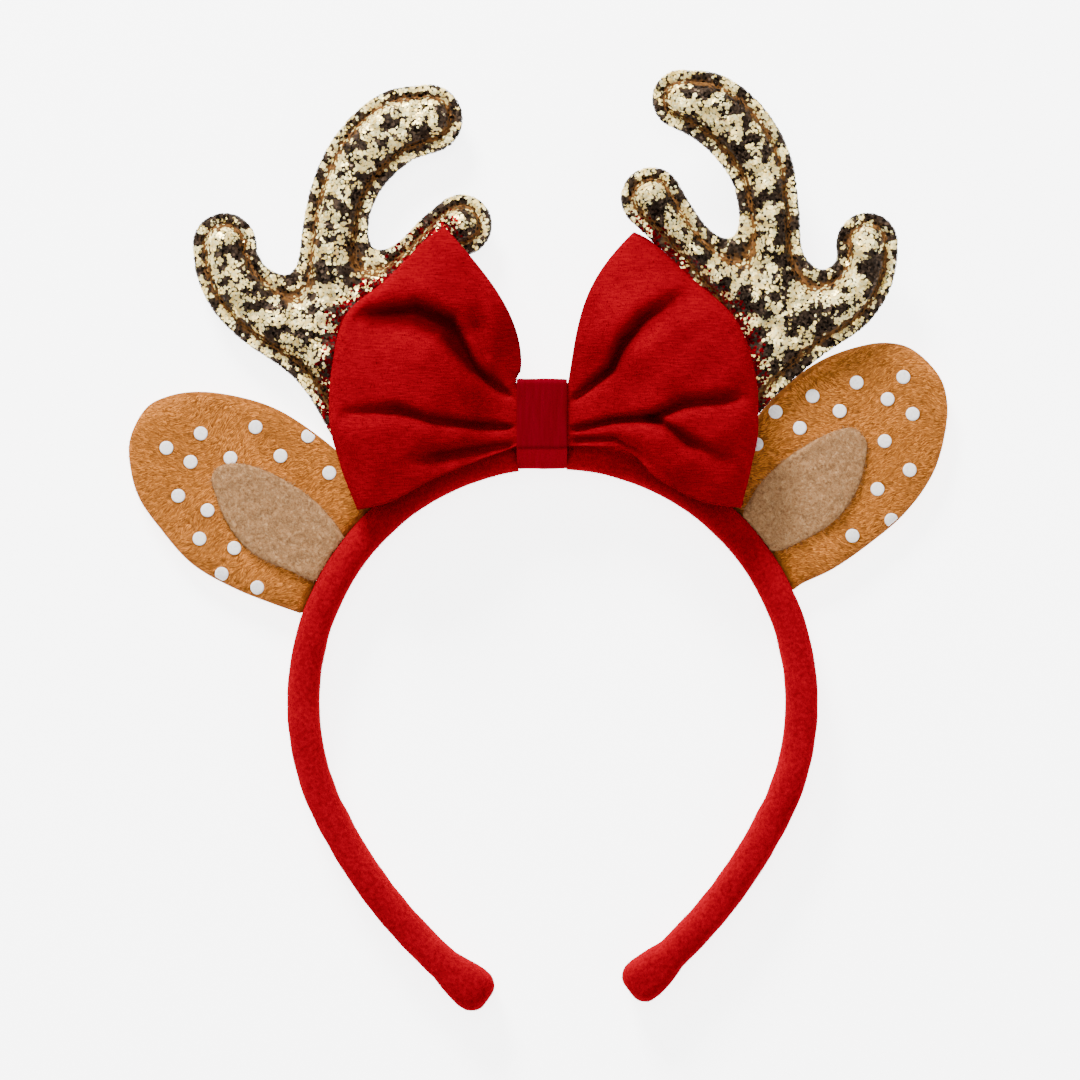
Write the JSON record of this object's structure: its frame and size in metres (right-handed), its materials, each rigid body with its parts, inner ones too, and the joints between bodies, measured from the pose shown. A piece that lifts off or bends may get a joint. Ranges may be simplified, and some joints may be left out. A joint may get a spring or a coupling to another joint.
{
  "type": "reindeer antler headband",
  "caption": "Velvet headband with padded glitter antlers, spotted plush ears with felt inners, and a pinched velvet bow held on the crown by a satin ribbon.",
  "frame": {"origin": "centre of the headband's crown on the back of the ribbon, which is level with the headband's back, on the surface it lies on", "axes": "+Y from the open ends towards the antlers, +Z out of the front, +X to the right as seen from the front"},
  "size_m": [0.1928, 0.2204, 0.0267],
  "materials": {
    "velvet": "red velvet pile",
    "satin_ribbon": "dark red satin",
    "glitter_fabric": "pale gold hexagon glitter on a dark base",
    "plush": "short tan plush with white spots",
    "felt": "taupe felt"
  },
  "bodies": {
    "root": {"headband": "velvet", "bow": "velvet", "bow_knot": "satin_ribbon", "antler_left": "glitter_fabric", "antler_right": "glitter_fabric", "ear_left": "plush", "ear_right": "plush", "inner_ear_left": "felt", "inner_ear_right": "felt"}
  },
  "joints": []
}
